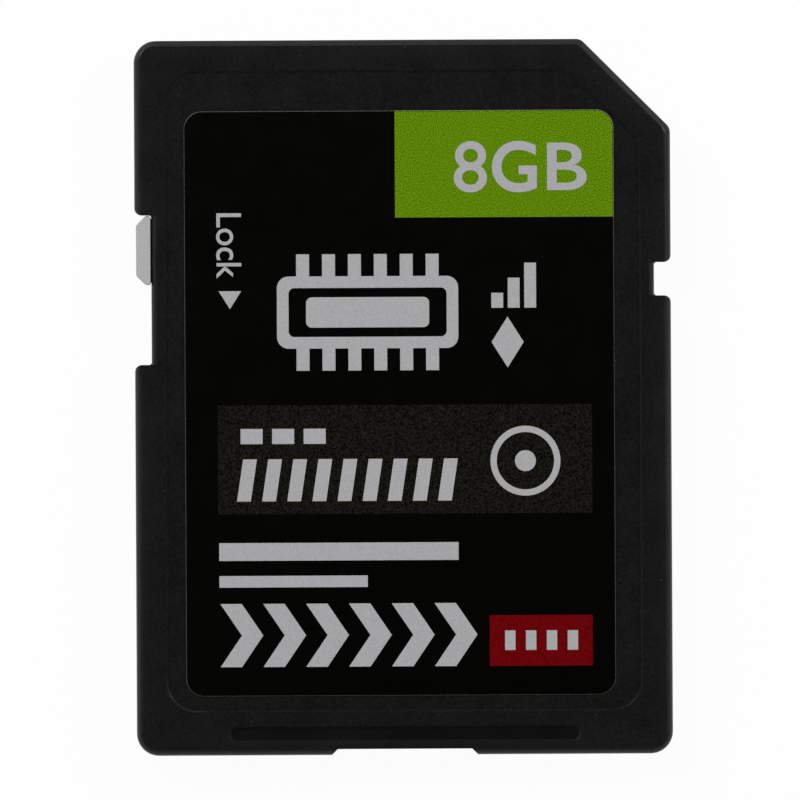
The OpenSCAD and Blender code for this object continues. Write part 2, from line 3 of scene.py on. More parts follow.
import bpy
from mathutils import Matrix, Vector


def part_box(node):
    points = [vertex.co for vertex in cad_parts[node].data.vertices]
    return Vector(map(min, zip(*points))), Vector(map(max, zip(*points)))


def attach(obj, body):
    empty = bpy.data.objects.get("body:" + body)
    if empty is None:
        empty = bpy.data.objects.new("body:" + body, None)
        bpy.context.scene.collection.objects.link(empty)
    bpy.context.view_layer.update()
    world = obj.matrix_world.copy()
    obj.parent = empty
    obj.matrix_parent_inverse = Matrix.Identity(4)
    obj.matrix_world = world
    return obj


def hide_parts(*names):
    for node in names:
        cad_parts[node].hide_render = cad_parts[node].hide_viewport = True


bl_info = {
    "name": "Memory card looks",
    "version": (1, 0, 0),
    "blender": (4, 5, 0),
    "location": "View3D > Sidebar > Memory card",
    "description": "Finishes the packed memory card and sets it on a pale studio floor",
    "category": "Object",
}

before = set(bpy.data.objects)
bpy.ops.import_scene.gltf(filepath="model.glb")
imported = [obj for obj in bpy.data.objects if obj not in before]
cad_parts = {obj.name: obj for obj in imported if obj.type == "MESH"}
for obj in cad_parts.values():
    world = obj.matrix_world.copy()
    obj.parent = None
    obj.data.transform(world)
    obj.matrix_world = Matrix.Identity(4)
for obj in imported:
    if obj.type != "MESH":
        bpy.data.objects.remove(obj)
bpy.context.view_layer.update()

import math

import bpy
import numpy as np
from bpy.props import FloatProperty, FloatVectorProperty, PointerProperty, StringProperty
from mathutils import Matrix

MM = 0.001
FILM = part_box("label_film")
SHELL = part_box("top_shell")
PRINT_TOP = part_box("pale_marks")[1][2]
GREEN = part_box("green_field")
FIELD_TOP = GREEN[1][2]


def linear(r, g, b):
    """Linear colour of an 8-bit screen colour, by the usual screen curve."""
    c = np.array([r, g, b], float) / 255
    return tuple(np.where(c <= 0.04045, c / 12.92, ((c + 0.055) / 1.055) ** 2.4))


def shade(colour, factor):
    """The colour, lighter or darker by a factor."""
    return tuple(min(1.0, c * factor) for c in colour)


def colour_property(name, description, default):
    """A colour that the panel shows, in linear values."""
    return FloatVectorProperty(
        name=name, description=description, subtype="COLOR", size=3, min=0.0, max=1.0, default=default
    )


def length_property(name, description, default):
    """A length that the panel shows, in metres."""
    return FloatProperty(name=name, description=description, unit="LENGTH", precision=6, default=default)


class CardFinish(bpy.types.PropertyGroup):
    """Colours and small sizes of the card's own surfaces"""

    shell: colour_property("Shell", "Black moulded plastic of both shells", linear(18, 18, 18))
    dust: colour_property("Dust", "Pale dust in the shells' grain", linear(90, 90, 90))
    # Painted highlight colour for the label bed's edge, standing in for the light its rounded edge catches
    bed_highlight: colour_property("Bed rim", "Edge of the label bed, rubbed pale", linear(50, 50, 50))
    film: colour_property("Label film", "Black film under the print", linear(4, 4, 3))
    film_rim: colour_property("Film rim", "Cut edge of the label film", linear(76, 78, 74))
    field_rim: colour_property("Field rim", "Cut edge beside the capacity field", linear(165, 190, 105))
    green: colour_property("Green ink", "Capacity field", linear(91, 130, 6))
    band: colour_property("Band ink", "Dark band across the label", linear(21, 19, 15))
    red: colour_property("Red ink", "Small field at the label's foot", linear(102, 2, 6))
    pale: colour_property("Pale ink", "Marks and lettering", linear(168, 168, 170))
    switch: colour_property("Switch", "Pale plastic of the lock switch", linear(173, 173, 175))
    gold: colour_property("Gold", "Plating of the contacts", (0.92, 0.66, 0.28))
    board: colour_property("Board", "Solder mask of the circuit board", linear(20, 58, 42))
    epoxy: colour_property("Epoxy", "Body of both chips", linear(38, 38, 40))
    ceramic: colour_property("Ceramic", "Body of the capacitors", linear(150, 118, 80))
    resistor: colour_property("Resistor", "Body of the resistors", linear(30, 30, 33))
    switch_edge: length_property("Switch edge", "Width of the round on the switch's edges", 0.08 * MM)
    film_edge: length_property("Film edge", "Width of the film's rounded cut edge", 0.04 * MM)
    grain: length_property("Grain", "Size of the moulded grain", 0.13 * MM)


class LetteringSizes(bpy.types.PropertyGroup):
    """Plain lettering: what it says, its size and where it stands on the label"""

    capacity_width: length_property("Capacity width", "Width of the capacity figure", 5.95 * MM)
    capacity_height: length_property("Capacity height", "Height of its flat letters", 2.13 * MM)
    capacity_right: length_property("Capacity right", "Its distance from the film's right edge", 1.2 * MM)
    capacity_lead: length_property("Capacity lead", "Its distance from the film's upper edge", 1.47 * MM)
    legend: StringProperty(name="Switch legend", description="Word beside the lock switch", default="Lock")
    legend_length: length_property("Legend length", "Length of the word along the card", 2.92 * MM)
    legend_height: length_property("Legend height", "Height of its letters", 1.12 * MM)
    legend_left: length_property("Legend left", "Its distance from the film's left edge", 1.43 * MM)
    legend_lead: length_property("Legend lead", "Its distance from the film's upper edge", 4.56 * MM)


class StageSettings(bpy.types.PropertyGroup):
    """Camera, lamps and floor"""

    camera_height: length_property("Camera height", "Distance of the camera over the floor", 0.6)
    pixels_per_mm: FloatProperty(name="Scale", description="Pixels per millimetre", default=22.35)
    centre_x: FloatProperty(name="Centre X", description="Pixel column of the card's middle", default=403.3)
    centre_y: FloatProperty(name="Centre Y", description="Pixel row of the card's middle", default=397.25)
    turn: FloatProperty(
        name="Turn", description="Turn of the card in the frame", subtype="ANGLE", default=math.radians(0.292)
    )
    key_power: FloatProperty(name="Key", description="Power of the main lamp in watts", default=3.4)
    fill_power: FloatProperty(name="Fill", description="Power of the fill lamp in watts", default=1.9)
    ambient: FloatProperty(name="Ambient", description="Strength of the studio's own light", default=1.0)


FRAME_PIXELS = 800
SENSOR = 0.036

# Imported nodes: points nearer than this are joined, faces nearer in angle than this become one flat, edges
# sharper than this are shaded crisp, and edges sharper than this get the round of a rounded node
JOIN_DISTANCE = 0.001 * MM
FLAT_ANGLE = math.radians(0.3)
CRISP_ANGLE = math.radians(28)
ROUNDED_ANGLE = math.radians(40)

# Floor of the finger groove, which is painted darker than the rest: half its length, its near and far
# side as distances from the tail edge, and its depth below the top
GROOVE_HALF = 7.8 * MM
GROOVE_SIDES = (0.68 * MM, 1.2 * MM)
GROOVE_DEPTH = 0.14 * MM

# Length that the slanted corner takes from each edge, and width of the bevel on the contact edge
CUT_LEG = 4 * MM
LEAD_BEVEL = 0.25 * MM

# Painted highlight along the rim, standing in for the light its rounded edges catch: how far in it reaches,
# how strongly, and how many times paler it is
RIM_HIGHLIGHT_REACH = 1.4 * MM
RIM_HIGHLIGHT_STRENGTH = 0.42
RIM_HIGHLIGHT_FACTOR = 2.6

# Upper edge of the label bed: its distance from the long sides and from the tail edge, the radius of its two
# corners at the tail, and the width of the painted highlight on either side of it, which stands in for the
# light its rounded edge catches
BED_SIDE = 1.38 * MM
BED_TAIL = 1.98 * MM
BED_RADIUS = 1.34 * MM
BED_HIGHLIGHT_WIDTH = 0.06 * MM

# Corner radius of the film and of a contact, and the share of a contact's thickness that its rolled edge
# takes
FILM_RADIUS = 0.8 * MM
CONTACT_RADIUS = 0.2 * MM
CONTACT_ROLL = 0.6

# Ink: size of its specks, roughness, and the contrast of its specks in pale ink
SPECK = 0.07 * MM
INK_ROUGHNESS = 0.24
PALE_CONTRAST = 0.06

# Weight added to the switch legend's strokes
LEGEND_WEIGHT = 0.006

# Lamps: where they stand and their size
KEY_PLACE = (-0.34, 0.38, 0.42)
FILL_PLACE = (0.42, 0.28, 0.42)
LAMP_SIZE = 0.3

# The capacity figure's characters, each with its left and right end as shares of the figure's width,
# the share of the height by which its round strokes overshoot the flat ones, its added weight, and the
# steps in each curve of its outline, few enough in B for its waist to stay clear of itself
CAPACITY_GLYPHS = (
    ("8", 0, 0.25, 0.04, 0.008, 12),
    ("G", 0.287, 0.625, 0.04, 0.02, 12),
    ("B", 0.701, 1, 0, 0.011, 6),
)


# Node trees

class Tree:
    """A node tree, with short ways to add to it."""

    def __init__(self, tree):
        self.nodes = tree.nodes
        self.links = tree.links

    def feed(self, socket, value):
        """Links an output to a socket, or sets a plain value on it."""
        if isinstance(value, bpy.types.NodeSocket):
            self.links.new(value, socket)
        else:
            socket.default_value = value

    def maths(self, operation, first, second=0.0):
        """One sum of two values, each an output or a plain number."""
        node = self.nodes.new("ShaderNodeMath")
        node.operation = operation
        self.feed(node.inputs[0], first)
        self.feed(node.inputs[1], second)
        return node.outputs[0]

    def times(self, first, *others):
        """Product of all the values."""
        for other in others:
            first = self.maths("MULTIPLY", first, other)
        return first

    def spread(self, value, low, high, to_low, to_high, curve="LINEAR"):
        """The value mapped from one range to another, held at its ends."""
        node = self.nodes.new("ShaderNodeMapRange")
        node.interpolation_type = curve
        for socket, number in zip(("From Min", "From Max", "To Min", "To Max"), (low, high, to_low, to_high)):
            node.inputs[socket].default_value = number
        self.links.new(value, node.inputs["Value"])
        return node.outputs["Result"]

    def between(self, factor, first, second):
        """The value that lies between two others by a factor."""
        node = self.nodes.new("ShaderNodeMix")
        for socket, value in ((0, factor), (2, first), (3, second)):
            self.feed(node.inputs[socket], value)
        return node.outputs[0]

    def axes(self, place):
        """X, Y and Z of a place or direction."""
        node = self.nodes.new("ShaderNodeSeparateXYZ")
        self.links.new(place, node.inputs["Vector"])
        return tuple(node.outputs)


# Meshes

def rounded_box(x0, x1, y0, y1, r, steps=12):
    """Points of a rectangle with quarter-circle corners, anticlockwise: each corner's centre plus r times
    the cosine and sine of an angle that runs over that corner's quarter."""
    centres = np.array([[x1 - r, y0 + r], [x1 - r, y1 - r], [x0 + r, y1 - r], [x0 + r, y0 + r]])
    start = np.radians([-90, 0, 90, 180])
    angle = start[:, None] + np.linspace(0, math.pi / 2, steps + 1)[None, :]
    points = centres[:, None, :] + r * np.stack([np.cos(angle), np.sin(angle)], -1)
    return points.reshape(-1, 2)


def outward(points):
    """Unit normals of a closed anticlockwise outline: the chord between a point's two neighbours, turned
    a quarter to the right."""
    chord = np.roll(points, -1, axis=0) - np.roll(points, 1, axis=0)
    normal = np.stack([chord[:, 1], -chord[:, 0]], -1)
    return normal / np.linalg.norm(normal, axis=1, keepdims=True)


def carried(outline, insets, heights):
    """A profile carried along a closed outline: ring k is the outline moved inwards by insets[k] along its
    normals, at heights[k]."""
    normal = outward(outline)
    flat = outline[None, :, :] - np.asarray(insets)[:, None, None] * normal[None, :, :]
    z = np.broadcast_to(np.asarray(heights)[:, None, None], flat.shape[:2] + (1,))
    return np.concatenate([flat, z], -1)


def skin(name, rings):
    """A closed mesh over rings of equal length: quads between neighbours and a face across each end."""
    count, size, _ = rings.shape
    i = np.arange(size)
    j = np.roll(i, -1)
    base = (np.arange(count - 1) * size)[:, None]
    quads = np.stack([base + i, base + j, base + size + j, base + size + i], -1).reshape(-1, 4)
    ends = [i[::-1].tolist(), (i + (count - 1) * size).tolist()]
    mesh = bpy.data.meshes.new(name)
    mesh.from_pydata(rings.reshape(-1, 3).tolist(), [], quads.tolist() + ends)
    mesh.validate()
    piece = bpy.data.objects.new(name, mesh)
    bpy.context.scene.collection.objects.link(piece)
    return piece


def mark_edges(piece, index, steepness=0.95):
    """Gives every face that isn't level, by the height of its normal, the material of the given slot."""
    polygons = piece.data.polygons
    normals = np.empty(len(polygons) * 3, np.float32)
    polygons.foreach_get("normal", normals)
    steep = normals.reshape(-1, 3)[:, 2] < steepness
    polygons.foreach_set("material_index", np.where(steep, index, 0).astype(np.int32))


def smooth_by_angle(piece, degrees=60):
    """Smooth shading, with edges sharper than the angle kept crisp."""
    piece.data.shade_smooth()
    piece.data.set_sharp_from_angle(angle=math.radians(degrees))


def edge_round(radius, steps=4):
    """Insets and drops of a quarter-circle edge, from the wall to the top: radius times one minus the
    cosine, and radius times one minus the sine, of an angle from 0 to 90 degrees."""
    angle = np.linspace(0, math.pi / 2, steps + 1)
    return radius * (1 - np.cos(angle)), radius * (1 - np.sin(angle))


def smooth_between_edges():
    """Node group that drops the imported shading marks, shades every face smoothly and keeps an edge crisp
    where its faces meet at more than the crisp angle."""
    found = bpy.data.node_groups.get("smooth_between_edges")
    if found:
        return found
    group = bpy.data.node_groups.new("smooth_between_edges", "GeometryNodeTree")
    for direction in ("INPUT", "OUTPUT"):
        group.interface.new_socket("Geometry", in_out=direction, socket_type="NodeSocketGeometry")
    tree = Tree(group)
    last = tree.nodes.new("NodeGroupInput").outputs[0]
    for domain in ("FACE", "EDGE"):
        step = tree.nodes.new("GeometryNodeSetShadeSmooth")
        step.domain = domain
        tree.links.new(last, step.inputs["Geometry"])
        last = step.outputs["Geometry"]
    angle = tree.nodes.new("GeometryNodeInputMeshEdgeAngle").outputs["Unsigned Angle"]
    tree.links.new(tree.maths("LESS_THAN", angle, CRISP_ANGLE), step.inputs["Shade Smooth"])
    tree.links.new(last, tree.nodes.new("NodeGroupOutput").inputs[0])
    return group


def modify(node, name, kind, **settings):
    """Adds a modifier with the given settings."""
    modifier = node.modifiers.new(name, kind)
    for setting, value in settings.items():
        setattr(modifier, setting, value)


def finish_moulding(node, edge=0.0):
    """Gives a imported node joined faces, even shading between crisp edges and, where an edge width is given,
    small rounded edges, with its own mesh untouched."""
    modify(node, "join", "WELD", merge_threshold=JOIN_DISTANCE)
    modify(node, "flats", "DECIMATE", decimate_type="DISSOLVE", angle_limit=FLAT_ANGLE)
    if edge:
        modify(node, "edges", "BEVEL", width=edge, segments=3, limit_method="ANGLE",
               angle_limit=ROUNDED_ANGLE, use_clamp_overlap=True)
        modify(node, "clean", "WELD", merge_threshold=JOIN_DISTANCE)
    modify(node, "shade", "NODES", node_group=smooth_between_edges())
    modify(node, "normals", "WEIGHTED_NORMAL", weight=80, keep_sharp=True)


# Materials

class Surface(Tree):
    """A new material with a Principled shader, and short ways to add procedural detail to it."""

    def __init__(self, name, colour, roughness, **sockets):
        self.material = bpy.data.materials.new(name)
        self.material.use_nodes = True
        super().__init__(self.material.node_tree)
        self.shader = self.nodes["Principled BSDF"]
        self.shader.inputs["Base Color"].default_value = (*colour, 1)
        self.shader.inputs["Roughness"].default_value = roughness
        for socket, value in sockets.items():
            self.shader.inputs[socket.replace("_", " ")].default_value = value
        self.place = self.nodes.new("ShaderNodeTexCoord").outputs["Object"]

    def noise(self, size, detail=2.0, stretch=(1, 1, 1)):
        """Noise over the object's own coordinates, with features of about the given size."""
        mapping = self.nodes.new("ShaderNodeMapping")
        mapping.inputs["Scale"].default_value = stretch
        self.links.new(self.place, mapping.inputs["Vector"])
        noise = self.nodes.new("ShaderNodeTexNoise")
        noise.inputs["Scale"].default_value = 1 / size
        noise.inputs["Detail"].default_value = detail
        self.links.new(mapping.outputs["Vector"], noise.inputs["Vector"])
        return noise.outputs["Fac"]

    def inside(self, low, high, soft):
        """1 inside a box and 0 outside it: the product, over the axes, of a rise at the box's low face and
        a fall at its high one."""
        steps = []
        for coordinate, start, end in zip(self.axes(self.place), low, high):
            steps.append(self.spread(coordinate, start - soft, start, 0, 1))
            steps.append(self.spread(coordinate, end, end + soft, 1, 0))
        return self.times(*steps)

    def near_rim(self, reach):
        """1 at the card's outline and 0 from a reach inside it: the square of the greatest of the rises
        towards the long sides, towards the two ends and towards the slanted corner, where x plus y is what
        counts. It is 0 again on the bevel of the contact edge."""
        x, y, _ = self.axes(self.place)
        side, lead = SHELL[1][0], SHELL[1][1]
        slant = side + lead - CUT_LEG
        rise = 0.0
        for value, limit, depth in (
            (self.maths("ABSOLUTE", x), side, reach),
            (self.maths("ABSOLUTE", y), lead, reach),
            (self.maths("ADD", x, y), slant, reach * math.sqrt(2)),
        ):
            rise = self.maths("MAXIMUM", self.spread(value, limit - depth, limit, 0, 1), rise)
        off_bevel = self.spread(y, lead - LEAD_BEVEL - 0.1 * MM, lead - LEAD_BEVEL, 1, 0)
        return self.times(rise, rise, off_bevel)

    def painted_bed_highlight(self, width):
        """Painted highlight on the label bed's upper edge, standing in for the light its rounded edge
        catches:
        how pale it is painted, and 0 from a width to either side of it. The distance from the edge is the
        length of what a point lies past the tail corners' centres, across and along, less the corners'
        radius. The highlight is palest at its left corner, elsewhere paler to the right, and ends before the
        slanted corner."""
        x, y, z = self.axes(self.place)
        centre_x = SHELL[1][0] - BED_SIDE - BED_RADIUS
        centre_y = SHELL[0][1] + BED_TAIL + BED_RADIUS
        across = self.maths("MAXIMUM", self.maths("SUBTRACT", self.maths("ABSOLUTE", x), centre_x))
        along = self.maths("MAXIMUM", self.maths("SUBTRACT", centre_y, y))
        past = self.maths("SQRT", self.maths("ADD", self.times(across, across), self.times(along, along)))
        line = self.spread(self.maths("ABSOLUTE", self.maths("SUBTRACT", past, BED_RADIUS)), 0, width, 1, 0)
        before_slant = self.spread(y, 9 * MM, 10.5 * MM, 1, 0)
        on_top = self.spread(z, SHELL[1][2] - 0.3 * MM, SHELL[1][2] - 0.2 * MM, 0, 1)
        to_the_right = self.spread(x, -centre_x, centre_x, 0.06, 0.19)
        at_left = self.spread(x, -centre_x - 0.6 * MM, -centre_x + MM, 1, 0)
        at_tail = self.spread(y, centre_y - 0.6 * MM, centre_y + 0.3 * MM, 1, 0)
        pale = self.maths("MAXIMUM", to_the_right, self.times(at_left, at_tail))
        return self.times(line, before_slant, on_top, pale)

    def mix_base(self, factor, first, second):
        """Base colour between two colours, each an output or plain, by a factor."""
        mix = self.nodes.new("ShaderNodeMix")
        mix.data_type = "RGBA"
        for socket, value in ((0, factor), (6, first), (7, second)):
            self.feed(mix.inputs[socket], value)
        self.links.new(mix.outputs[2], self.shader.inputs["Base Color"])

    def mottle(self, value, low, high, colour, contrast):
        """Base colour from darker to lighter than the given one, by the contrast, as the value goes from
        low to high."""
        dark, light = shade(colour, 1 - contrast), shade(colour, 1 + contrast)
        self.mix_base(self.spread(value, low, high, 0, 1), (*dark, 1), (*light, 1))

    def overlay(self, factor, colour):
        """Lays a plain colour over the base colour where the factor is 1."""
        self.mix_base(factor, self.shader.inputs["Base Color"].links[0].from_socket, (*colour, 1))

    def roughen(self, value, low, high):
        """Roughness between two values by a 0 to 1 value."""
        self.links.new(self.spread(value, 0.3, 0.7, low, high), self.shader.inputs["Roughness"])

    def bump(self, value, depth):
        """Raises the surface by a 0 to 1 value times a depth."""
        node = self.nodes.new("ShaderNodeBump")
        node.inputs["Distance"].default_value = depth
        self.links.new(value, node.inputs["Height"])
        self.links.new(node.outputs["Normal"], self.shader.inputs["Normal"])


def moulded_plastic(name, colour, grain, depth, roughness, contrast=0.3):
    """Moulded plastic with a fine sparked grain: mottled colour, broadly uneven gloss and a fine bump."""
    s = Surface(name, colour, roughness, Specular_IOR_Level=0.25)
    fine = s.noise(grain, detail=3)
    broad = s.noise(14 * grain)
    s.mottle(fine, 0.35, 0.65, colour, contrast)
    s.roughen(broad, roughness - 0.04, roughness + 0.04)
    s.bump(fine, depth)
    return s


def black_shell(look):
    """Black moulded plastic with a painted highlight along the rim and along the label bed's edge, standing
    in for the light their rounded edges catch, some pale dust caught in its grain and a groove floor painted
    darker."""
    s = moulded_plastic("black_shell", look.shell, look.grain, depth=0.004 * MM, roughness=0.33)
    # Painted highlight: the rim is painted paler, standing in for the light its rounded edges catch
    s.overlay(s.times(s.near_rim(RIM_HIGHLIGHT_REACH), RIM_HIGHLIGHT_STRENGTH), shade(look.shell, RIM_HIGHLIGHT_FACTOR))
    uneven = s.spread(s.noise(0.5 * MM), 0.35, 0.65, 0.3, 1.0)
    # Painted highlight along the label bed's edge, unevenly strong, in place of the light its rounded edge
    # catches
    s.overlay(s.times(s.painted_bed_highlight(BED_HIGHLIGHT_WIDTH), uneven), look.bed_highlight)
    s.overlay(s.spread(s.noise(0.11 * MM, detail=1), 0.76, 0.82, 0, 0.5), look.dust)
    low, high = SHELL
    floor = s.inside((-GROOVE_HALF, low[1] + GROOVE_SIDES[0], high[2] - 1.2 * GROOVE_DEPTH),
                     (GROOVE_HALF, low[1] + GROOVE_SIDES[1], high[2] - 0.9 * GROOVE_DEPTH), 0.01 * MM)
    # The groove floor is painted darker
    s.overlay(floor, shade(look.shell, 0.55))
    return s.material


def printed_ink(name, colour, speck, contrast):
    """Ink printed in fine dots: specks darker and lighter than the colour, and a hint of ink thickness."""
    s = Surface(name, colour, INK_ROUGHNESS, Specular_IOR_Level=0.3)
    dots = s.noise(speck, detail=0)
    s.mottle(dots, 0.3, 0.7, colour, contrast)
    s.bump(dots, depth=0.02 * speck)
    return s.material


def film_cut_edge(look):
    """Cut edge of the film: grey where black is printed over it, paler beside the capacity field."""
    s = Surface("film_cut_edge", look.film_rim, 0.4, Specular_IOR_Level=0.2)
    s.mottle(s.noise(0.1 * MM, detail=1), 0.3, 0.7, look.film_rim, contrast=0.2)
    low, high = GREEN
    margin = 0.5 * MM
    s.overlay(s.inside(low, (high[0] + margin, high[1] + margin, high[2]), 0.02 * MM), look.field_rim)
    return s.material


def assign(piece, material):
    """Puts a material into every slot of a piece, or into a new slot."""
    if not piece.material_slots:
        piece.data.materials.append(material)
    for slot in piece.material_slots:
        slot.material = material


# Operators

class MEMCARD_OT_shells(bpy.types.Operator):
    """Finishes both moulded shells"""

    bl_idname = "memcard.shells"
    bl_label = "Shells"

    def execute(self, context):
        look = context.scene.card_finish
        plastic = black_shell(look)
        for name in ("top_shell", "bottom_shell"):
            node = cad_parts[name]
            finish_moulding(node)
            assign(node, plastic)
        return {"FINISHED"}


class MEMCARD_OT_switch(bpy.types.Operator):
    """Finishes the lock switch"""

    bl_idname = "memcard.switch"
    bl_label = "Lock switch"

    def execute(self, context):
        look = context.scene.card_finish
        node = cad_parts["lock_switch"]
        finish_moulding(node, look.switch_edge)
        plastic = moulded_plastic(
            "pale_switch", look.switch, look.grain, depth=0.0005 * MM, roughness=0.4, contrast=0.02
        )
        assign(node, plastic.material)
        return {"FINISHED"}


class MEMCARD_OT_film(bpy.types.Operator):
    """Lays the label film with its rounded, cut edge"""

    bl_idname = "memcard.film"
    bl_label = "Label film"

    def execute(self, context):
        look = context.scene.card_finish
        low, high = FILM
        insets, drops = edge_round(look.film_edge)
        outline = rounded_box(low[0], high[0], low[1], high[1], FILM_RADIUS, steps=20)
        film = skin("film", carried(outline, np.r_[0, insets], np.r_[low[2], high[2] - drops]))
        smooth_by_angle(film)
        s = Surface("black_film", look.film, 0.2, Specular_IOR_Level=0.25)
        ripple = s.noise(1.2 * MM)
        s.roughen(ripple, 0.17, 0.23)
        s.bump(ripple, depth=0.002 * MM)
        film.data.materials.append(s.material)
        film.data.materials.append(film_cut_edge(look))
        mark_edges(film, 1)
        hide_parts("label_film")
        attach(film, "card")
        return {"FINISHED"}


class MEMCARD_OT_print(bpy.types.Operator):
    """Prints the fields and marks of the label"""

    bl_idname = "memcard.print"
    bl_label = "Print"

    def execute(self, context):
        look = context.scene.card_finish
        inks = {
            "green_field": printed_ink("green_ink", look.green, 0.045 * MM, contrast=0.5),
            "dark_band": printed_ink("band_ink", look.band, SPECK, contrast=0.8),
            "red_field": printed_ink("red_ink", look.red, SPECK, contrast=0.25),
            "pale_marks": printed_ink("pale_ink", look.pale, SPECK, PALE_CONTRAST),
        }
        for name, ink in inks.items():
            assign(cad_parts[name], ink)
        return {"FINISHED"}


def lettering(name, words, width, height, thickness, weight, steps=12):
    """Plain lettering as a mesh whose lower left corner is at the origin, stretched to a width and height."""
    curve = bpy.data.curves.new(name, "FONT")
    curve.body = words
    curve.offset = weight
    curve.resolution_u = steps
    curve.extrude = 0.5
    source = bpy.data.objects.new(name, curve)
    bpy.context.scene.collection.objects.link(source)
    bpy.context.view_layer.update()
    mesh = bpy.data.meshes.new_from_object(source.evaluated_get(bpy.context.evaluated_depsgraph_get()))
    bpy.data.objects.remove(source)
    bpy.data.curves.remove(curve)
    co = np.empty(len(mesh.vertices) * 3, np.float32)
    mesh.vertices.foreach_get("co", co)
    co = co.reshape(-1, 3)
    low = co.min(0)
    size = co.max(0) - low
    co = (co - low) / size * np.array([width, height, thickness], np.float32)
    mesh.vertices.foreach_set("co", co.ravel())
    mesh.name = name
    piece = bpy.data.objects.new(name, mesh)
    bpy.context.scene.collection.objects.link(piece)
    return piece


def place_in_mesh(piece, x, y, z, turn=0.0):
    """Turns a piece's mesh about Z and moves it, with the object left at the origin."""
    piece.data.transform(Matrix.Translation((x, y, z)) @ Matrix.Rotation(turn, 4, "Z"))
    piece.data.update()


class MEMCARD_OT_lettering(bpy.types.Operator):
    """Prints the plain capacity figure and the switch's legend"""

    bl_idname = "memcard.lettering"
    bl_label = "Lettering"

    def execute(self, context):
        look = context.scene.card_finish
        size = context.scene.lettering_sizes
        low, high = FILM
        thickness = PRINT_TOP - FIELD_TOP
        ink = printed_ink("pale_lettering", look.pale, SPECK, PALE_CONTRAST)
        legend = lettering("lock_legend", size.legend, size.legend_length, size.legend_height, thickness,
                           LEGEND_WEIGHT)
        place_in_mesh(legend, low[0] + size.legend_left, high[1] - size.legend_lead, high[2], -math.pi / 2)
        pieces = [legend]
        left = high[0] - size.capacity_right - size.capacity_width
        foot = high[1] - size.capacity_lead - size.capacity_height
        for character, start, end, overshoot, weight, steps in CAPACITY_GLYPHS:
            glyph = lettering(f"capacity_{character}", character, (end - start) * size.capacity_width,
                              (1 + 2 * overshoot) * size.capacity_height, thickness, weight, steps)
            place_in_mesh(glyph, left + start * size.capacity_width, foot - overshoot * size.capacity_height,
                          FIELD_TOP)
            pieces.append(glyph)
        for piece in pieces:
            assign(piece, ink)
            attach(piece, "card")
        return {"FINISHED"}


class MEMCARD_OT_contacts(bpy.types.Operator):
    """Plates the nine contacts, each with rolled edges"""

    bl_idname = "memcard.contacts"
    bl_label = "Contacts"

    def execute(self, context):
        look = context.scene.card_finish
        s = Surface("gold_plating", look.gold, 0.24, Metallic=1.0)
        wiped = s.noise(0.05 * MM, stretch=(1, 0.04, 1))
        s.roughen(wiped, 0.18, 0.32)
        s.bump(wiped, depth=0.001 * MM)
        for n in range(1, 10):
            low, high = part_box(f"contact_pad_{n}")
            outline = rounded_box(low[0], high[0], low[1], high[1], CONTACT_RADIUS)
            insets, drops = edge_round(CONTACT_ROLL * (high[2] - low[2]))
            rings = carried(outline, np.r_[insets[::-1], 0], np.r_[low[2] + drops[::-1], high[2]])
            pad = skin(f"contact_{n}", rings)
            smooth_by_angle(pad)
            assign(pad, s.material)
            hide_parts(f"contact_pad_{n}")
            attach(pad, "card")
        return {"FINISHED"}


class MEMCARD_OT_board(bpy.types.Operator):
    """Finishes the circuit board and the parts on it"""

    bl_idname = "memcard.board"
    bl_label = "Circuit board"

    def execute(self, context):
        look = context.scene.card_finish
        mask = Surface("solder_mask", look.board, 0.3, Specular_IOR_Level=0.5)
        weave = mask.noise(0.25 * MM)
        mask.mottle(weave, 0.4, 0.6, look.board, contrast=0.15)
        mask.bump(weave, depth=0.003 * MM)
        assign(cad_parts["circuit_board"], mask.material)
        capacitors = [f"capacitor_{n}" for n in range(1, 5)]
        resistors = [f"resistor_{n}" for n in range(1, 5)]
        for names, finish, colour, grain, depth, roughness in (
            (("flash_chip", "controller_chip"), "chip_epoxy", look.epoxy, 0.08 * MM, 0.004 * MM, 0.55),
            (capacitors, "capacitor_body", look.ceramic, 0.05 * MM, 0.001 * MM, 0.5),
            (resistors, "resistor_body", look.resistor, 0.05 * MM, 0.001 * MM, 0.4),
        ):
            body = moulded_plastic(finish, colour, grain, depth, roughness).material
            for name in names:
                assign(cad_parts[name], body)
        return {"FINISHED"}


def softbox(name, place, power):
    """Square area lamp aimed at the card's middle: its back axis points to its place, its side is the cross
    product of up and back, and its top that of back and side."""
    lamp = bpy.data.lights.new(name, "AREA")
    lamp.size = LAMP_SIZE
    lamp.energy = power
    thing = bpy.data.objects.new(name, lamp)
    thing.location = place
    back = np.array(place) / np.linalg.norm(place)
    side = np.cross((0, 0, 1), back)
    side /= np.linalg.norm(side)
    top = np.cross(back, side)
    thing.rotation_euler = Matrix(np.stack([side, top, back], 1).tolist()).to_euler()
    bpy.context.scene.collection.objects.link(thing)


def studio_world(ambient):
    """White to the camera; for light and reflections, white near the horizon, dark overhead, and dimmer
    beyond the contact edge."""
    world = bpy.data.worlds.new("studio")
    world.use_nodes = True
    tree = Tree(world.node_tree)
    _, beyond, overhead = tree.axes(tree.nodes.new("ShaderNodeTexCoord").outputs["Generated"])
    horizon = tree.times(
        tree.spread(overhead, 0.2, 0.85, 0.9, 0.01, "SMOOTHSTEP"),
        tree.spread(beyond, 0.4, 1.0, 1.0, 0.25, "SMOOTHSTEP"),
    )
    path = tree.nodes.new("ShaderNodeLightPath").outputs
    strength = tree.times(horizon, tree.between(path["Is Glossy Ray"], ambient, 1.0))
    seen = tree.maths("MAXIMUM", path["Is Camera Ray"], path["Is Transmission Ray"])
    background = tree.nodes["Background"]
    background.inputs["Color"].default_value = (1, 1, 1, 1)
    tree.links.new(tree.between(seen, strength, 1.0), background.inputs["Strength"])
    bpy.context.scene.world = world


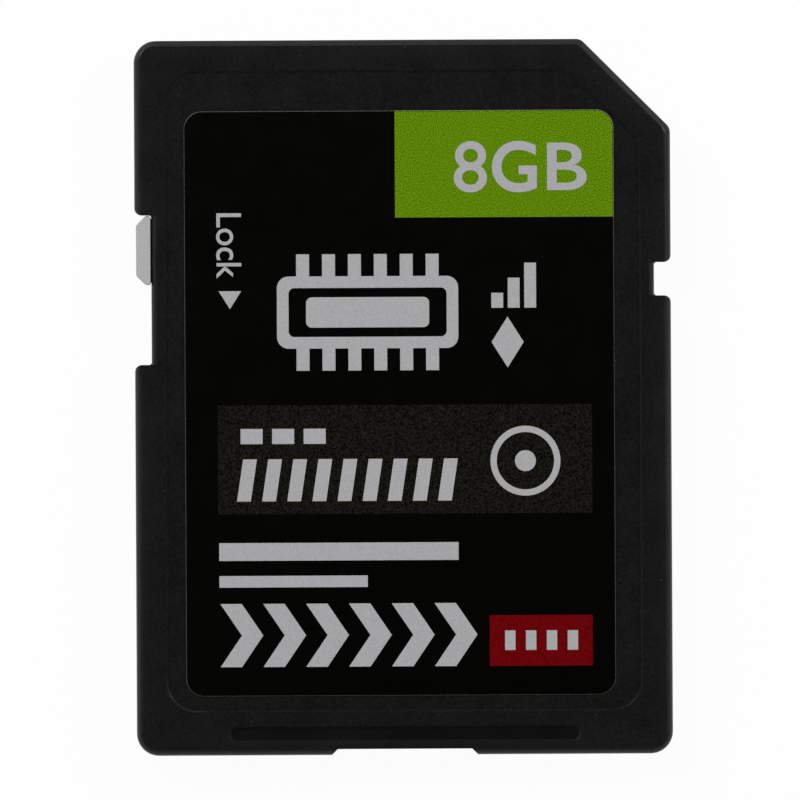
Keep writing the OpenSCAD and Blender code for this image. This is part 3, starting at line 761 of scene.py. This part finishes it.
def pale_floor():
    """Wide pale floor under the card: nearly white to the camera, with the card's shadow kept."""
    half = 1.5
    drop = -0.01 * MM
    mesh = bpy.data.meshes.new("floor")
    corners = [(-half, -half, drop), (half, -half, drop), (half, half, drop), (-half, half, drop)]
    mesh.from_pydata(corners, [], [(0, 1, 2, 3)])
    floor = bpy.data.objects.new("floor", mesh)
    bpy.context.scene.collection.objects.link(floor)
    material = bpy.data.materials.new("pale_floor")
    material.use_nodes = True
    tree = Tree(material.node_tree)
    tree.nodes.remove(tree.nodes["Principled BSDF"])
    diffuse = tree.nodes.new("ShaderNodeBsdfDiffuse")
    diffuse.inputs["Color"].default_value = (0.8, 0.8, 0.8, 1)
    glow = tree.nodes.new("ShaderNodeEmission")
    glow.inputs["Strength"].default_value = 1.0
    path = tree.nodes.new("ShaderNodeLightPath").outputs
    seen = tree.maths("MAXIMUM", path["Is Camera Ray"], path["Is Glossy Ray"])
    mix = tree.nodes.new("ShaderNodeMixShader")
    for socket, output in zip(mix.inputs, (tree.times(seen, 0.96), diffuse.outputs[0], glow.outputs[0])):
        tree.links.new(output, socket)
    tree.links.new(mix.outputs[0], tree.nodes["Material Output"].inputs["Surface"])
    floor.data.materials.append(material)


class MEMCARD_OT_stage(bpy.types.Operator):
    """Sets the floor, the lamps and the camera"""

    bl_idname = "memcard.stage"
    bl_label = "Stage"

    def execute(self, context):
        stage = context.scene.stage_settings
        scene = context.scene
        scene.view_settings.view_transform = "Standard"
        studio_world(stage.ambient)
        pale_floor()
        softbox("key", KEY_PLACE, stage.key_power)
        softbox("fill", FILL_PLACE, stage.fill_power)
        camera = bpy.data.cameras.new("camera")
        thing = bpy.data.objects.new("camera", camera)
        scene.collection.objects.link(thing)
        field = FRAME_PIXELS / stage.pixels_per_mm * MM
        camera.sensor_width = SENSOR / MM
        camera.lens = SENSOR * (stage.camera_height - FILM[1][2]) / field / MM
        camera.clip_start = 0.01
        middle = FRAME_PIXELS / 2
        thing.location = (
            (middle - stage.centre_x) / stage.pixels_per_mm * MM,
            -(middle - stage.centre_y) / stage.pixels_per_mm * MM,
            stage.camera_height,
        )
        thing.rotation_euler = (0, 0, -stage.turn)
        scene.camera = thing
        return {"FINISHED"}


OPERATORS = (
    MEMCARD_OT_shells,
    MEMCARD_OT_switch,
    MEMCARD_OT_film,
    MEMCARD_OT_print,
    MEMCARD_OT_lettering,
    MEMCARD_OT_contacts,
    MEMCARD_OT_board,
    MEMCARD_OT_stage,
)


class MEMCARD_PT_panel(bpy.types.Panel):
    """Lists the pieces of the memory card"""

    bl_idname = "MEMCARD_PT_panel"
    bl_label = "Memory card"
    bl_space_type = "VIEW_3D"
    bl_region_type = "UI"
    bl_category = "Memory card"

    def draw(self, context):
        for group in (context.scene.card_finish, context.scene.lettering_sizes, context.scene.stage_settings):
            for name in group.__annotations__:
                self.layout.prop(group, name)
        for operator in OPERATORS:
            self.layout.operator(operator.bl_idname)


GROUPS = {"card_finish": CardFinish, "lettering_sizes": LetteringSizes, "stage_settings": StageSettings}


def register():
    for cls in (*GROUPS.values(), *OPERATORS, MEMCARD_PT_panel):
        bpy.utils.register_class(cls)
    for name, group in GROUPS.items():
        setattr(bpy.types.Scene, name, PointerProperty(type=group))


def unregister():
    for name in GROUPS:
        delattr(bpy.types.Scene, name)
    for cls in (MEMCARD_PT_panel, *reversed(OPERATORS), *reversed(GROUPS.values())):
        bpy.utils.unregister_class(cls)


def main():
    register()
    bpy.ops.memcard.shells()
    bpy.ops.memcard.switch()
    bpy.ops.memcard.film()
    bpy.ops.memcard.print()
    bpy.ops.memcard.lettering()
    bpy.ops.memcard.contacts()
    bpy.ops.memcard.board()
    bpy.ops.memcard.stage()


if __name__ == "__main__":
    main()
